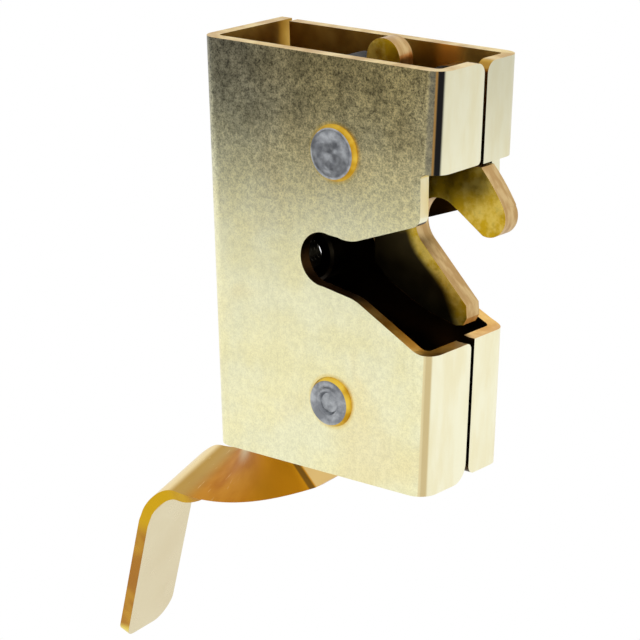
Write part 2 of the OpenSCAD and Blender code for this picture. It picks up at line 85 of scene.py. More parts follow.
# Materials
class Graph:
    """A short way to write a material's nodes. Its place is in the case's own millimetres."""

    def __init__(self, name):
        self.material = bpy.data.materials.new(name)
        self.material.use_nodes = True
        self.tree = self.material.node_tree
        self.shader = self.tree.nodes["Principled BSDF"]
        place = self.add("ShaderNodeVectorMath", operation="MULTIPLY_ADD")
        self.put(place.inputs[0], self.add("ShaderNodeTexCoord").outputs["Object"])
        place.inputs[1].default_value = (1 / MM, 1 / MM, 1 / MM)
        place.inputs[2].default_value = ORIGIN_MM
        self.place = place.outputs[0]
        self.x, self.y, self.z = self.split(self.place)
        self.nx, self.ny, self.nz = self.split(self.add("ShaderNodeNewGeometry").outputs["Normal"])

    def add(self, kind, **settings):
        node = self.tree.nodes.new(kind)
        for key, value in settings.items():
            setattr(node, key, value)
        return node

    def split(self, vector):
        node = self.add("ShaderNodeSeparateXYZ")
        self.put(node.inputs[0], vector)
        return node.outputs[0], node.outputs[1], node.outputs[2]

    def put(self, socket, value):
        if isinstance(value, bpy.types.NodeSocket):
            self.tree.links.new(value, socket)
        elif hasattr(value, "__len__") and len(value) == 3 and socket.type == "RGBA":
            socket.default_value = (*value, 1.0)
        else:
            socket.default_value = value

    def noise(self, size, detail=3.0, rough=0.55, stretch=None, distortion=0.0):
        """Noise whose main features are about this many millimetres across."""
        node = self.add("ShaderNodeTexNoise")
        place = self.place
        if stretch:
            mapping = self.add("ShaderNodeMapping")
            self.put(mapping.inputs["Vector"], place)
            mapping.inputs["Scale"].default_value = stretch
            place = mapping.outputs[0]
        self.put(node.inputs["Vector"], place)
        node.inputs["Scale"].default_value = 1 / size
        node.inputs["Detail"].default_value = detail
        node.inputs["Roughness"].default_value = rough
        node.inputs["Distortion"].default_value = distortion
        return node.outputs["Fac"]

    def ramp(self, value, low, high, to_low=0.0, to_high=1.0):
        """Goes smoothly from to_low, where the value is low, to to_high, where it is high."""
        node = self.add("ShaderNodeMapRange", interpolation_type="SMOOTHSTEP")
        for socket, item in zip(node.inputs[:5], (value, low, high, to_low, to_high)):
            self.put(socket, item)
        return node.outputs[0]

    def math(self, operation, *values):
        node = self.add("ShaderNodeMath", operation=operation)
        for socket, item in zip(node.inputs, values):
            self.put(socket, item)
        return node.outputs[0]

    def both(self, first, second):
        """1 where both masks are 1."""
        return self.math("MULTIPLY", first, second)

    def either(self, first, second):
        """1 where one of the masks is 1."""
        return self.math("MAXIMUM", first, second)

    def band(self, value, low, low_full, high_full, high):
        """1 between the two inner values, and 0 outside the two outer ones."""
        return self.both(self.ramp(value, low, low_full), self.ramp(value, high, high_full))

    def weigh(self, first, first_share, second, second_share):
        """The sum of two values, each times its share."""
        first_part = self.math("MULTIPLY", first, first_share)
        return self.math("ADD", first_part, self.math("MULTIPLY", second, second_share))

    def off(self, value, centre):
        """How far the value is from a centre."""
        return self.math("ABSOLUTE", self.math("SUBTRACT", value, centre))

    def away(self, place):
        """Distance from an axis along y, whose place is its x and z."""
        from_x = self.math("POWER", self.math("SUBTRACT", self.x, place[0]), 2.0)
        from_z = self.math("POWER", self.math("SUBTRACT", self.z, place[1]), 2.0)
        return self.math("SQRT", self.math("ADD", from_x, from_z))

    def mix(self, share, first, second, blend="MIX"):
        node = self.add("ShaderNodeMix", data_type="RGBA", blend_type=blend)
        self.put(node.inputs["Factor"], share)
        self.put(node.inputs["A"], first)
        self.put(node.inputs["B"], second)
        return node.outputs["Result"]

    def bump(self, height, strength, depth_mm):
        node = self.add("ShaderNodeBump")
        node.inputs["Strength"].default_value = strength
        node.inputs["Distance"].default_value = depth_mm * MM
        self.put(node.inputs["Height"], height)
        return node.outputs["Normal"]

    def finish(self, colour, rough, normal, metallic=1.0):
        self.put(self.shader.inputs["Base Color"], colour)
        self.put(self.shader.inputs["Roughness"], rough)
        self.put(self.shader.inputs["Normal"], normal)
        self.shader.inputs["Metallic"].default_value = metallic
        return self.material


def plate_front(g, grain):
    """Pale outside, whose front is grainy, with painted shade making it dark towards the top and along the
    left fold.
    """
    pale = g.mix(g.ramp(g.noise(14, 3), 0.35, 0.65), (0.92, 0.87, 0.52), (0.90, 0.88, 0.59))
    pale = g.mix(g.ramp(g.noise(26, 2, distortion=0.6), 0.50, 0.70, 0.0, 0.5), pale, (0.88, 0.76, 0.40))
    left_fold = g.both(g.ramp(g.nx, -0.05, -0.2), g.ramp(g.y, 6, 4))
    front = g.either(g.ramp(g.ny, -0.5, -0.62), left_fold)
    height = g.weigh(g.z, 1.0, g.noise(33, 2), 10)
    # Painted shade: the front darkens towards the top, and to near black along the left fold.
    shade = g.both(front, g.ramp(height, 46, 99, 0.0, 0.88))
    painted_shade_colour = g.mix(g.ramp(g.x, 0, 36), (0.175, 0.158, 0.12), (0.40, 0.31, 0.12))
    painted_shade_colour = g.mix(left_fold, painted_shade_colour, (0.06, 0.055, 0.045))
    speck = g.ramp(grain, 0.38, 0.62, -1.0, 1.0)
    contrast = g.math("MULTIPLY_ADD", shade, 0.75, 0.10)
    speckle = g.math("MULTIPLY_ADD", speck, contrast, 1.0)
    return g.mix(1.0, g.mix(shade, pale, painted_shade_colour), speckle, "MULTIPLY")


def right_flange(g, colour, top_share):
    """Streaky right flange, with painted shade that darkens it to top_share at its top, and painted reflection
    bands, dark and tan, along its fold.
    """
    streaks = g.ramp(g.noise(5, 3, 0.6, stretch=(1, 1, 0.25)), 0.35, 0.7)
    flange = g.mix(streaks, (0.95, 0.92, 0.68), (0.90, 0.84, 0.56))
    # Painted shade: the flange darkens towards its top.
    flange = g.mix(1.0, flange, g.ramp(g.z, 45, 95, 1.0, top_share), "MULTIPLY")
    on_fold = g.both(g.ramp(g.x, 52, 54), g.ramp(g.y, 5.0, 4.2))
    below = g.ramp(g.z, 58, 40)
    # Painted shade and painted reflections: dark, brown and tan bands along the fold above and below the
    # mouth.
    dark = g.both(g.ramp(g.nx, 0.0, 0.30), g.ramp(g.z, 60, 72, 0.0, 0.75))
    colour = g.mix(g.both(on_fold, dark), colour, (0.09, 0.09, 0.08))
    colour = g.mix(g.ramp(g.nx, 0.6, 0.9), colour, flange)
    orange = g.mix(below, (0.36, 0.20, 0.06), (0.80, 0.68, 0.38))
    colour = g.mix(g.both(on_fold, g.band(g.nx, 0.45, 0.52, 0.56, 0.62)), colour, orange)
    black = g.mix(below, (0.014, 0.013, 0.013), (0.66, 0.53, 0.27))
    return g.mix(g.both(on_fold, g.band(g.nx, 0.54, 0.62, 0.78, 0.86)), colour, black)


def rivet_halos(g, colour):
    """A golden ring on the front round each rivet's head."""
    on_front = g.ramp(g.ny, -0.9, -0.98)
    for place, radius in ((ROTOR_AT, ROTOR_HEAD_R), (PAWL_AT, PAWL_HEAD_R)):
        halo = g.ramp(g.away(place), radius + 1.0, radius + 0.1, 0.0, 0.5)
        colour = g.mix(g.both(halo, on_front), colour, (0.80, 0.58, 0.12))
    return colour


def plate_edges(g, colour):
    """Golden top rim and orange lower lip of the mouth, the cut edges' own tone deepened by painted shade
    where they face up, and painted shade on the edge round the striker's seat.
    """
    # Painted shade where the cut edges face up, over the edges' own gold tone.
    rim = g.both(g.ramp(g.nz, 0.3, 0.7), g.ramp(g.z, 84, 87))
    gold = g.mix(g.ramp(g.noise(6, 3), 0.35, 0.7), (0.52, 0.30, 0.035), (0.82, 0.64, 0.26))
    colour = g.mix(rim, colour, gold)
    cut = g.ramp(g.math("ABSOLUTE", g.ny), 0.6, 0.35)
    low_lip = g.both(g.ramp(g.nz, 0.1, 0.3), g.band(g.z, 26, 28, 58, 62))
    orange = g.mix(g.ramp(g.noise(5, 3), 0.35, 0.65), (0.66, 0.33, 0.05), (0.90, 0.58, 0.18))
    colour = g.mix(g.both(cut, low_lip), colour, orange)
    # Painted shade on the cut edge round the striker's seat.
    seat = g.both(g.band(g.x, 22, 24, 38, 46), g.band(g.z, 36, 38, 57, 60))
    return g.mix(g.both(cut, seat), colour, (0.13, 0.065, 0.018))


def plate_inside(g, colour, inside_y):
    """Painted shade inside: brown, with a painted glow of light near the right flange, and dark below the open
    top.
    """
    on_plate = g.ramp(g.math("MULTIPLY", g.ny, inside_y), 0.4, 0.7)
    on_left = g.both(g.ramp(g.nx, 0.4, 0.7), g.ramp(g.x, 12, 9))
    on_right = g.both(g.ramp(g.nx, -0.4, -0.7), g.ramp(g.x, 50, 53))
    # Painted shade: the inside faces are brown, and dark lower down.
    brown = g.mix(g.ramp(g.noise(12, 3), 0.35, 0.7), (0.40, 0.22, 0.035), (0.58, 0.36, 0.08))
    # Painted light: an orange glow on the inside near the right flange.
    painted_glow = g.both(g.ramp(g.off(g.x, 46.5), 5, 1), g.ramp(g.y, 18, 22))
    brown = g.mix(painted_glow, brown, (1.0, 0.46, 0.07))
    brown = g.mix(g.ramp(g.z, 84, 68), brown, (0.05, 0.03, 0.01))
    return g.mix(g.either(on_plate, g.either(on_left, on_right)), colour, brown)


def sheet_zinc(name, inside_y, flange_top):
    """Yellow zinc plate on a sheet of the case, whose inner face points along inside_y."""
    g = Graph(name)
    grain = g.mix(0.45, g.noise(0.42, 4, 0.8), g.noise(1.3, 4, 0.7))
    colour = plate_front(g, grain)
    colour = right_flange(g, colour, flange_top)
    colour = rivet_halos(g, colour)
    colour = plate_edges(g, colour)
    colour = plate_inside(g, colour, inside_y)
    rough = g.ramp(g.noise(8, 3), 0.3, 0.7, 0.28, 0.38)
    return g.finish(colour, rough, g.bump(grain, 0.14, 0.2))


def lever_strip(g):
    """Orange strip, the plate's own tone deepened by painted shade beneath the case; painted shade makes it
    duller by the bend; plainer by the crease, with a few scratches.
    """
    # Painted shade: the plate's own tone deepened to orange beneath the case.
    orange = g.mix(g.ramp(g.noise(9, 3), 0.35, 0.7), (0.50, 0.18, 0.004), (0.62, 0.28, 0.02))
    # Painted shade: duller and olive by the bend.
    orange = g.mix(g.ramp(g.x, -6, -12, 0.0, 0.8), orange, (0.46, 0.30, 0.07))
    orange = g.mix(g.ramp(g.x, 4, 13), orange, (0.60, 0.255, 0.008))
    scratch = g.ramp(g.noise(1.3, 3, 0.6, stretch=(1, 0.25, 0.25)), 0.64, 0.72, 0.0, 0.5)
    return g.mix(g.both(scratch, g.ramp(g.x, 6, -2)), orange, (0.80, 0.58, 0.25))


def lever_edge(g):
    """Deep gold edge, with painted light making it more yellow on the bend, and more yellow at the tab's end.
    """
    edge = g.mix(g.ramp(g.noise(9, 2), 0.4, 0.65), (0.42, 0.17, 0.008), (0.54, 0.27, 0.015))
    # Painted light: more yellow on the bend.
    edge = g.mix(g.ramp(g.z, -32, -25), edge, (0.66, 0.39, 0.015))
    edge = g.mix(g.ramp(g.z, -59, -61.5), edge, (0.85, 0.68, 0.12))
    return g.mix(g.ramp(g.x, -12, -6), edge, (0.60, 0.27, 0.015))


def lever_zinc():
    """Yellow zinc plate on the lever: orange strip deepened by painted shade, pale bend from a painted
    highlight, pale tab, deep gold edges, painted shade on the tab's rounded edge, and a dark crease of painted
    shade.
    """
    g = Graph("yellow_zinc_lever")
    upper = g.weigh(g.ny, -0.32, g.nz, 0.95)
    face = g.either(g.ramp(g.x, -14, -12), g.ramp(g.ny, -0.85, -0.7))
    colour = g.mix(g.both(face, g.ramp(upper, 0.10, 0.22)), lever_edge(g), lever_strip(g))
    # Painted highlight along the crest of the bend.
    bend = g.both(g.ramp(upper, 0.35, 0.55), g.ramp(g.x, -14.0, -16.5))
    colour = g.mix(g.both(bend, g.ramp(g.ny, -0.6, -0.4)), colour, (0.86, 0.68, 0.34))
    # Painted shade: a dark line on the tab's rounded edge.
    rounding = g.both(g.band(g.nx, 0.12, 0.25, 0.7, 0.85), g.ramp(g.z, -27, -31))
    colour = g.mix(rounding, colour, (0.20, 0.16, 0.11))
    tab = g.both(g.ramp(g.nx, 0.78, 0.86), g.ramp(g.x, -8, -12))
    pale = g.mix(g.ramp(g.noise(16, 3), 0.35, 0.65), (0.70, 0.60, 0.36), (0.74, 0.65, 0.41))
    colour = g.mix(g.either(tab, g.ramp(g.nx, -0.55, -0.8)), colour, pale)
    along = g.weigh(g.x, 0.71, g.z, 0.70)
    past_crease = g.both(g.ramp(along, 12.6, 13.2), g.ramp(g.ny, -0.8, -0.95))
    colour = g.mix(past_crease, colour, (0.76, 0.52, 0.19))
    # Painted shade in the crease.
    crease = g.both(g.ramp(g.off(along, 12.0), 0.75, 0.35), g.ramp(g.ny, -0.3, -0.5))
    colour = g.mix(crease, colour, (0.20, 0.095, 0.012))
    on_strip = g.both(g.ramp(g.x, -13, -7), g.ramp(along, 12.0, 10.0))
    rough = g.ramp(g.noise(8, 3), 0.3, 0.7, 0.26, 0.36)
    rough = g.math("MULTIPLY_ADD", on_strip, 0.24, rough)
    return g.finish(colour, rough, g.bump(g.noise(0.8, 2, 0.7), 0.06, 0.2))


def fork_zinc():
    """Yellow zinc plate on the fork and the pawl: golden faces, with painted shade making them dark low down,
    and tan cut edges.
    """
    g = Graph("yellow_zinc_fork")
    face = g.mix(g.ramp(g.noise(4.5, 4, 0.65), 0.4, 0.62), (0.70, 0.44, 0.015), (0.90, 0.66, 0.13))
    face = g.mix(g.ramp(g.noise(2.4, 4, 0.7), 0.50, 0.72, 0.0, 0.3), face, (0.22, 0.15, 0.02))
    to_edge = g.weigh(g.x, 0.92, g.z, 0.385)
    to_edge = g.math("ADD", to_edge, g.ramp(g.z, 39, 49, 0.0, 4.5))
    height = g.weigh(g.z, 1.0, g.noise(6, 2), 6)
    # Painted shade: the face goes dark low down, except near its cut edge and top, where it mirrors the dark
    # inside of the case.
    painted_shade_low = g.both(g.ramp(to_edge, 66.0, 63.4), g.ramp(height, 60, 53.5))
    face = g.mix(painted_shade_low, face, (0.035, 0.026, 0.010))
    streaks = g.ramp(g.noise(5, 3, 0.6, stretch=(1, 3, 1)), 0.4, 0.65)
    edge = g.mix(streaks, (0.50, 0.31, 0.12), (0.66, 0.47, 0.22))
    colour = g.mix(g.ramp(g.math("ABSOLUTE", g.ny), 0.80, 0.95), edge, face)
    rounding = g.both(g.ramp(g.ny, -0.25, -0.5), g.ramp(g.ny, -0.95, -0.85))
    colour = g.mix(rounding, colour, (0.50, 0.25, 0.03))
    rough = g.ramp(g.noise(5, 3), 0.3, 0.7, 0.30, 0.45)
    return g.finish(colour, rough, g.bump(g.noise(0.9, 3, 0.7), 0.07, 0.2))


def rivet_zinc():
    """Grey zinc on the rivets' heads, with golden sides."""
    g = Graph("grey_zinc_rivet")
    grey = g.mix(g.ramp(g.noise(3, 4, 0.6), 0.35, 0.68), (0.24, 0.25, 0.27), (0.50, 0.52, 0.54))
    gold = g.mix(g.ramp(g.noise(4, 2), 0.35, 0.65), (0.62, 0.34, 0.02), (0.88, 0.60, 0.08))
    side = g.ramp(g.math("ABSOLUTE", g.ny), 0.80, 0.62)
    outer = g.ramp(g.math("MINIMUM", g.away(ROTOR_AT), g.away(PAWL_AT)), 4.4, 4.7)
    colour = g.mix(g.both(side, outer), grey, gold)
    rough = g.ramp(g.noise(2.5, 3), 0.3, 0.7, 0.30, 0.42)
    return g.finish(colour, rough, g.bump(g.noise(1.1, 3, 0.6), 0.25, 0.25))


def plain_zinc(name, light, dark, size):
    """Plain zinc or oiled steel on the small inner pieces."""
    g = Graph(name)
    colour = g.mix(g.ramp(g.noise(size, 4), 0.35, 0.7), light, dark)
    rough = g.ramp(g.noise(size * 0.6, 3), 0.3, 0.7, 0.28, 0.46)
    return g.finish(colour, rough, g.bump(g.noise(0.7, 3), 0.1, 0.2))


def black_rubber():
    """Matte moulded rubber."""
    g = Graph("black_rubber")
    colour = g.mix(g.ramp(g.noise(2, 3), 0.4, 0.7), (0.018, 0.018, 0.018), (0.035, 0.034, 0.032))
    rough = g.ramp(g.noise(3, 3), 0.3, 0.7, 0.62, 0.8)
    return g.finish(colour, rough, g.bump(g.noise(0.4, 2), 0.2, 0.1), metallic=0.0)


lever = lever_zinc()
fork = fork_zinc()
rivet = rivet_zinc()
# Painted shade: the yellow zinc nut and its bore are painted near black for the shade inside the case.
nut = plain_zinc("yellow_zinc_nut_painted_shade", (0.02, 0.016, 0.01), (0.012, 0.01, 0.006), 3.3)
thread = plain_zinc("yellow_zinc_thread_painted_shade", (0.06, 0.053, 0.036), (0.035, 0.03, 0.02), 3.3)
inner = plain_zinc("plain_zinc_inner", (0.13, 0.10, 0.06), (0.07, 0.055, 0.035), 3.8)
spring = plain_zinc("oiled_spring_steel", (0.12, 0.11, 0.10), (0.06, 0.055, 0.05), 2.9)

looks = {
    "front_shell": sheet_zinc("yellow_zinc_front", 1.0, 0.80),
    "back_plate": sheet_zinc("yellow_zinc_back", -1.0, 0.66),
    "rotor": fork, "pawl": fork,
    "stop_buffer": black_rubber(), "rotor_spring": spring, "pawl_spring": spring,
}


# Edges: round where the real ones are, and even shading everywhere else
EDGE_MM = {"front_shell": 0.35, "back_plate": 0.35, "rotor": 0.75, "pawl": 0.5}
LEVER_EDGE_MM = 0.4
SMOOTH_BELOW, ROUND_ABOVE = math.radians(32), math.radians(40)
JOIN_WITHIN = 2e-6


def even_shading():
    """A node group that joins the split corners and shades all but the real edges smoothly."""
    group = bpy.data.node_groups.new("even_shading", "GeometryNodeTree")
    group.interface.new_socket("Geometry", in_out="INPUT", socket_type="NodeSocketGeometry")
    group.interface.new_socket("Geometry", in_out="OUTPUT", socket_type="NodeSocketGeometry")
    first = group.nodes.new("NodeGroupInput")
    drop = group.nodes.new("GeometryNodeRemoveAttribute")
    drop.inputs["Name"].default_value = "custom_normal"
    join = group.nodes.new("GeometryNodeMergeByDistance")
    join.inputs["Distance"].default_value = JOIN_WITHIN
    faces = group.nodes.new("GeometryNodeSetShadeSmooth")
    faces.domain = "FACE"
    edges = group.nodes.new("GeometryNodeSetShadeSmooth")
    edges.domain = "EDGE"
    angle = group.nodes.new("GeometryNodeInputMeshEdgeAngle")
    small = group.nodes.new("FunctionNodeCompare")
    small.operation = "LESS_THAN"
    small.inputs["B"].default_value = SMOOTH_BELOW
    last = group.nodes.new("NodeGroupOutput")
    group.links.new(first.outputs[0], drop.inputs["Geometry"])
    group.links.new(drop.outputs["Geometry"], join.inputs["Geometry"])
    group.links.new(join.outputs["Geometry"], faces.inputs["Geometry"])
    group.links.new(faces.outputs["Geometry"], edges.inputs["Geometry"])
    group.links.new(angle.outputs["Unsigned Angle"], small.inputs["A"])
    group.links.new(small.outputs["Result"], edges.inputs["Shade Smooth"])
    group.links.new(edges.outputs["Geometry"], last.inputs[0])
    return group


shading = even_shading()


def round_edges(item, radius_mm):
    bevel = item.modifiers.new("round_edges", "BEVEL")
    bevel.width = radius_mm * MM
    bevel.segments = 3
    bevel.limit_method = "ANGLE"
    bevel.angle_limit = ROUND_ABOVE
    item.modifiers.new("even_normals", "WEIGHTED_NORMAL").keep_sharp = True


for name, item in nodes.items():
    item.data.materials.clear()
    item.data.materials.append(looks.get(name, inner))
    item.modifiers.new("even_shading", "NODES").node_group = shading
    if name in EDGE_MM:
        round_edges(item, EDGE_MM[name])


# Pieces that stand for CAD nodes
def piece(name, points, faces, body, slot, *replaced):
    """A mesh from points in the case's own millimetres, which rides on a body and stands for CAD nodes."""
    mesh = bpy.data.meshes.new(name)
    mesh.from_pydata([tuple(at(*p)) for p in points], [], faces)
    item = bpy.data.objects.new(name, mesh)
    bpy.context.scene.collection.objects.link(item)
    item.modifiers.new("even_shading", "NODES").node_group = shading
    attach(item, body)
    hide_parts(*replaced)
    return item


def rings(centres, profile, sides, closed):
    """Points and faces of rings about y axes: each ring gives radius and y for a share of the turn."""
    points = []
    faces = []
    for x, z in centres:
        start = len(points)
        for ring in profile:
            for k in range(sides):
                radius, y = ring(k / sides)
                turn = 2 * math.pi * k / sides
                points.append((x + radius * math.cos(turn), y, z + radius * math.sin(turn)))
        for i in range(len(profile) if closed else len(profile) - 1):
            this = start + i * sides
            following = start + (i + 1) % len(profile) * sides
            for k in range(sides):
                after = (k + 1) % sides
                faces.append((this + k, this + after, following + after, following + k))
    return points, faces


def plain_ring(radius, y):
    return lambda share: (radius, y)


# Fixing nuts with their threads cut as geometry
NUT_FRONT, NUT_R, NUT_NECK_R, NUT_CHAMFER = 19.9, 6.5, 5.2, 0.6
THREAD_CREST, THREAD_ROOT, THREAD_MOUTH = 3.2, 3.9, 3.5
THREAD_PITCH, THREAD_LEAD_IN = 1.25, 0.3
NUT_SIDES, BORE_STEPS = 48, 62


def thread_ring(y):
    """A ring of the bore at depth y, whose radius follows the thread's groove."""
    run_in = min(1.0, min(y - NUT_FRONT, CASE_DEPTH - y) / THREAD_LEAD_IN)

    def ring(share):
        wave = abs((y / THREAD_PITCH - share) % 1.0 - 0.5) * 2
        cut = THREAD_CREST + (THREAD_ROOT - THREAD_CREST) * (1 - wave)
        return cut * run_in + THREAD_MOUTH * (1 - run_in), y

    return ring


bore = [thread_ring(NUT_FRONT + (CASE_DEPTH - NUT_FRONT) * i / BORE_STEPS) for i in range(BORE_STEPS + 1)]
outside = [plain_ring(radius, y) for radius, y in (
    (NUT_NECK_R, CASE_DEPTH), (NUT_NECK_R, BACK_INSIDE), (NUT_R, BACK_INSIDE),
    (NUT_R, NUT_FRONT + NUT_CHAMFER), (NUT_R - NUT_CHAMFER, NUT_FRONT))]
nut_points, nut_faces = rings(NUT_PLACES, bore + outside, NUT_SIDES, True)
nuts = piece("threaded_nuts", nut_points, nut_faces, "case", "nuts", "mounting_nuts")
nuts.data.materials.append(thread)
nuts.data.materials.append(nut)
faces_in_bore = BORE_STEPS * NUT_SIDES
faces_per_nut = (len(bore) + len(outside)) * NUT_SIDES
for face in nuts.data.polygons:
    face.material_index = 0 if face.index % faces_per_nut < faces_in_bore else 1


# Rivets with peened heads: rows of radius, y and the height of shallow hammer marks
SHANK_R, TENON_R, RIVET_SIDES = 5.0, 4.0, 64
HAMMER_MARKS, MARK_TURN = 3, 0.1
ROTOR_HEAD = (
    (0.0, -0.95), (0.8, -0.95, 0.03), (1.6, -0.93, 0.08), (2.2, -0.90, 0.09), (2.8, -0.93, 0.05),
    (3.5, -1.02, 0.02), (4.2, -1.18), (4.8, -1.28), (5.2, -1.27), (5.38, -1.16), (5.45, -1.0),
    (5.75, -0.5), (ROTOR_HEAD_R, -0.12), (ROTOR_HEAD_R, 0.0))
PAWL_HEAD = (
    (0.0, -0.52), (0.9, -0.56, 0.04), (1.6, -0.52, 0.05), (2.1, -0.6), (2.35, -1.15), (2.6, -1.48),
    (2.9, -1.5), (3.3, -1.24), (4.0, -1.2), (4.6, -1.22), (4.82, -1.15), (4.95, -0.98),
    (5.2, -0.5), (PAWL_HEAD_R, -0.1), (PAWL_HEAD_R, 0.0))
RIVET_BODY = (
    (TENON_R, 0.0), (TENON_R, SHEET), (SHANK_R, SHEET), (SHANK_R, BACK_INSIDE),
    (TENON_R, BACK_INSIDE), (TENON_R, CASE_DEPTH), (0.0, CASE_DEPTH))


def hammered_ring(radius, y, mark=0.0):
    return lambda share: (radius, y + mark * math.sin(HAMMER_MARKS * 2 * math.pi * (share + MARK_TURN)))


def rivet_piece(name, place, head, replaced):
    """A rivet with this head, on a shank that spaces the plates."""
    profile = [hammered_ring(*row) for row in head] + [plain_ring(*row) for row in RIVET_BODY]
    points, faces = rings((place,), profile, RIVET_SIDES, False)
    item = piece(name, points, faces, "case", "rivets", replaced)
    item.data.materials.append(rivet)


rivet_piece("peened_rotor_pin", ROTOR_AT, ROTOR_HEAD, "rotor_pin")
rivet_piece("peened_pawl_pin", PAWL_AT, PAWL_HEAD, "pawl_pin")


# Release lever: a flat arm, a crease, a strip that turns over, a bend and a finger tab
LEVER_FRONT, LEVER_BACK = 6.99, 9.6
LEVER_T = LEVER_BACK - LEVER_FRONT
LEVER_PIVOT, EYE_R, EYE_BORE = Vector((PAWL_AT[0], 0.0, PAWL_AT[1])), 9.5, 5.05
ARM_CORNERS = ((30.9, -3.4), (41.8, 10.2), (28.5, 22.4))
CREASE_LOW, CREASE_W = Vector((25.0, LEVER_FRONT, -7.5)), 14.0
CREASE_ALONG = Vector((-0.7, 0.0, 0.71)).normalized()
CREASE_TOP = CREASE_LOW + CREASE_W * CREASE_ALONG
# Directions along the bend and out of the strip's end, which is tilted back
TILT = math.radians(18.7)
STRIP_BACK = Vector((0.0, math.cos(TILT), math.sin(TILT)))
STRIP_UP = Vector((0.0, -math.sin(TILT), math.cos(TILT)))
# Places of the edges along the bend: the front edge flares over a run in mm, and the rear edge from a turn on
BEND_FROM, BEND_R, BEND = Vector((-13.9, 8.5, -15.3)), 9.2, math.radians(64.2)
BEND_FRONT, BEND_REAR = -4.3, 14.3
FLARE_FROM, FLARE_TO, REAR_FLARE_FROM = 1.0, 14.0, 0.26
FRONT_END = BEND_FROM + BEND_FRONT * STRIP_BACK
REAR_END = BEND_FROM + BEND_REAR * STRIP_BACK
FRONT_BORDER = (CREASE_LOW, Vector((16.0, 0.7, -11.4)), Vector((0.7, 2.7, -17.2)), FRONT_END)
REAR_BORDER = (CREASE_TOP, Vector((4.0, 2.5, 1.8)), REAR_END + Vector((12.0, 0.3, 1.0)), REAR_END)
# The tab's end slants, and an arc rounds each of its corners
TAB_FRONT, TAB_REAR, TAB_LEN, TAB_SLOPE = -8.6, 9.0, 46.2, 0.415
TAB_FRONT_R, TAB_REAR_R = 4.0, 5.0
TAB_SLANT = math.hypot(1.0, TAB_SLOPE)
TAB_FRONT_AT = TAB_LEN + TAB_SLOPE * TAB_FRONT_R - TAB_SLANT * TAB_FRONT_R
TAB_REAR_AT = TAB_LEN + TAB_SLOPE * (TAB_REAR - TAB_REAR_R - TAB_FRONT) - TAB_SLANT * TAB_REAR_R
TAB_STUB = 0.02
# Shares of the strip's length: a small step, where its slant counts in full, and where its edges turn square
SLOPE_STEP, SLANT_BY, SQUARE_FROM, SQUARE_OVER = 0.002, 0.12, 0.78, 0.2
# Measured straight back, the slanted strip is at most this many times as thick
MOST_SLANT = 1 / 0.7
ACROSS, TURN_STEPS, BEND_STEPS, TAB_STEPS, CORNER_STEPS, EYE_STEPS = 12, 48, 20, 14, 26, 96


def curve(guides, u):
    """A point on the curve that four points guide."""
    a, b, c, d = guides
    return (1 - u) ** 3 * a + 3 * u * (1 - u) ** 2 * b + 3 * u * u * (1 - u) * c + u ** 3 * d


def ease(u):
    """Goes smoothly from 0 to 1."""
    u = min(max(u, 0.0), 1.0)
    return u * u * (3 - 2 * u)


def strip_points(u):
    """Points across the strip's upper face at u, which is 0 at the crease and 1 at the bend."""
    front, rear = curve(FRONT_BORDER, u), curve(REAR_BORDER, u)
    return [front.lerp(rear, k / ACROSS) for k in range(ACROSS + 1)]


def strip_row(u):
    """Upper and lower points of the strip's cross-section at u."""
    upper = strip_points(u)
    lower = []
    across = upper[-1] - upper[0]
    for here, before, after in zip(upper, strip_points(u - SLOPE_STEP), strip_points(u + SLOPE_STEP)):
        square = (after - before).cross(across).normalized()
        back = Vector((0, 1, 0)).lerp(square, ease((u - SQUARE_FROM) / SQUARE_OVER)).normalized()
        slant = 1 / max(1 / MOST_SLANT, back.dot(square))
        lower.append(here + LEVER_T * (1 + (slant - 1) * ease(u / SLANT_BY)) * back)
    return upper, lower


def flat_row(place, through, front, rear):
    """Upper and lower points of a straight cross-section that runs along the bend."""
    upper = [place + (front + (rear - front) * k / ACROSS) * STRIP_BACK for k in range(ACROSS + 1)]
    return upper, [p + LEVER_T * through for p in upper]


def flared_front(run):
    """Place of the front edge at a distance from the start of the bend."""
    return BEND_FRONT + (TAB_FRONT - BEND_FRONT) * ease((run - FLARE_FROM) / (FLARE_TO - FLARE_FROM))


def flared_rear(turn):
    """Place of the rear edge after this much of the bend's turn."""
    return BEND_REAR + (TAB_REAR - BEND_REAR) * ease((turn - REAR_FLARE_FROM) / (BEND - REAR_FLARE_FROM))


def tab_edges(q):
    """Places of the tab's front and rear edges at a distance from the bend."""
    front_x, rear_x = TAB_FRONT + TAB_FRONT_R, TAB_REAR - TAB_REAR_R
    line_from = TAB_FRONT_AT + TAB_FRONT_R / TAB_SLANT
    line_to = TAB_REAR_AT + TAB_REAR_R / TAB_SLANT
    rear_half = math.sqrt(max(TAB_REAR_R ** 2 - max(q - TAB_REAR_AT, 0.0) ** 2, 0.0))
    if q <= TAB_FRONT_AT:
        front = flared_front(BEND_R * BEND + q)
    elif q <= line_from:
        front = front_x - math.sqrt(TAB_FRONT_R ** 2 - (q - TAB_FRONT_AT) ** 2)
    elif q <= line_to:
        front = front_x - TAB_FRONT_R * TAB_SLOPE / TAB_SLANT + (q - line_from) / TAB_SLOPE
    else:
        front = rear_x - rear_half
    return front, rear_x + rear_half


def bend_outward(turn):
    """Direction out of the bend after this much of its turn."""
    return math.cos(turn) * STRIP_UP - math.sin(turn) * Vector((1, 0, 0))


